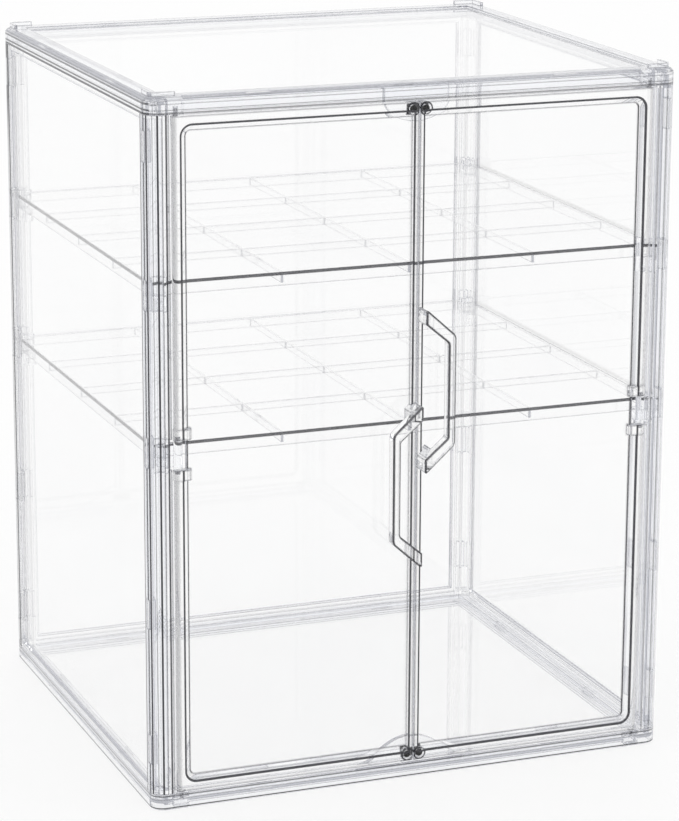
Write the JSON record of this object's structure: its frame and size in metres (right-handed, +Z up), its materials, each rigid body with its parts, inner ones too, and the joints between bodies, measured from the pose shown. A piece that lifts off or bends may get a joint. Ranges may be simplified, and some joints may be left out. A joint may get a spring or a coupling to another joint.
{
  "type": "baby bottle organizer cabinet",
  "caption": "Clear countertop cabinet for baby bottles with channel rims, corner posts, snapped-in panels, ribbed shelves and hinged doors closed by magnets.",
  "frame": {"origin": "under the centre of the whole object, handles included, on the surface that the base rests on; the cabinet itself stands 6.25 mm back from it", "axes": "+Z up, doors face -Y, left side of the cabinet is -X"},
  "size_m": [0.328, 0.3104, 0.4245],
  "materials": {
    "rim_clear": "clear polished",
    "post_clear": "clear polished",
    "sheet_clear": "clear polished",
    "panel_clear": "clear polished",
    "shelf_clear": "clear polished",
    "door_clear": "clear polished",
    "handle_clear": "clear polished",
    "hinge_clear": "clear satin",
    "magnet": "plated",
    "keeper_steel": "plated"
  },
  "bodies": {
    "cabinet": {"base_frame": "rim_clear", "top_frame": "rim_clear", "floor_sheet": "sheet_clear", "roof_sheet": "sheet_clear", "front_left_post": "post_clear", "front_right_post": "post_clear", "rear_left_post": "post_clear", "rear_right_post": "post_clear", "left_panel": "panel_clear", "right_panel": "panel_clear", "back_panel": "panel_clear", "lower_shelf": "shelf_clear", "upper_shelf": "shelf_clear", "left_hinge_link": "hinge_clear", "right_hinge_link": "hinge_clear", "lower_keeper": "keeper_steel", "upper_keeper": "keeper_steel"},
    "left_leaf": {"left_door": "door_clear", "left_handle": "handle_clear", "left_door_magnets": "magnet"},
    "right_leaf": {"right_door": "door_clear", "right_handle": "handle_clear", "right_door_magnets": "magnet"}
  },
  "joints": [
    {"name": "left_door_hinge", "type": "hinge", "parent": "cabinet", "child": "left_leaf", "pos_m": [-0.1464, -0.14015, 0.21525], "axis": [0, 0, -1], "range_deg": [0, 120]},
    {"name": "right_door_hinge", "type": "hinge", "parent": "cabinet", "child": "right_leaf", "pos_m": [0.1464, -0.14015, 0.21525], "axis": [0, 0, 1], "range_deg": [0, 120]}
  ]
}
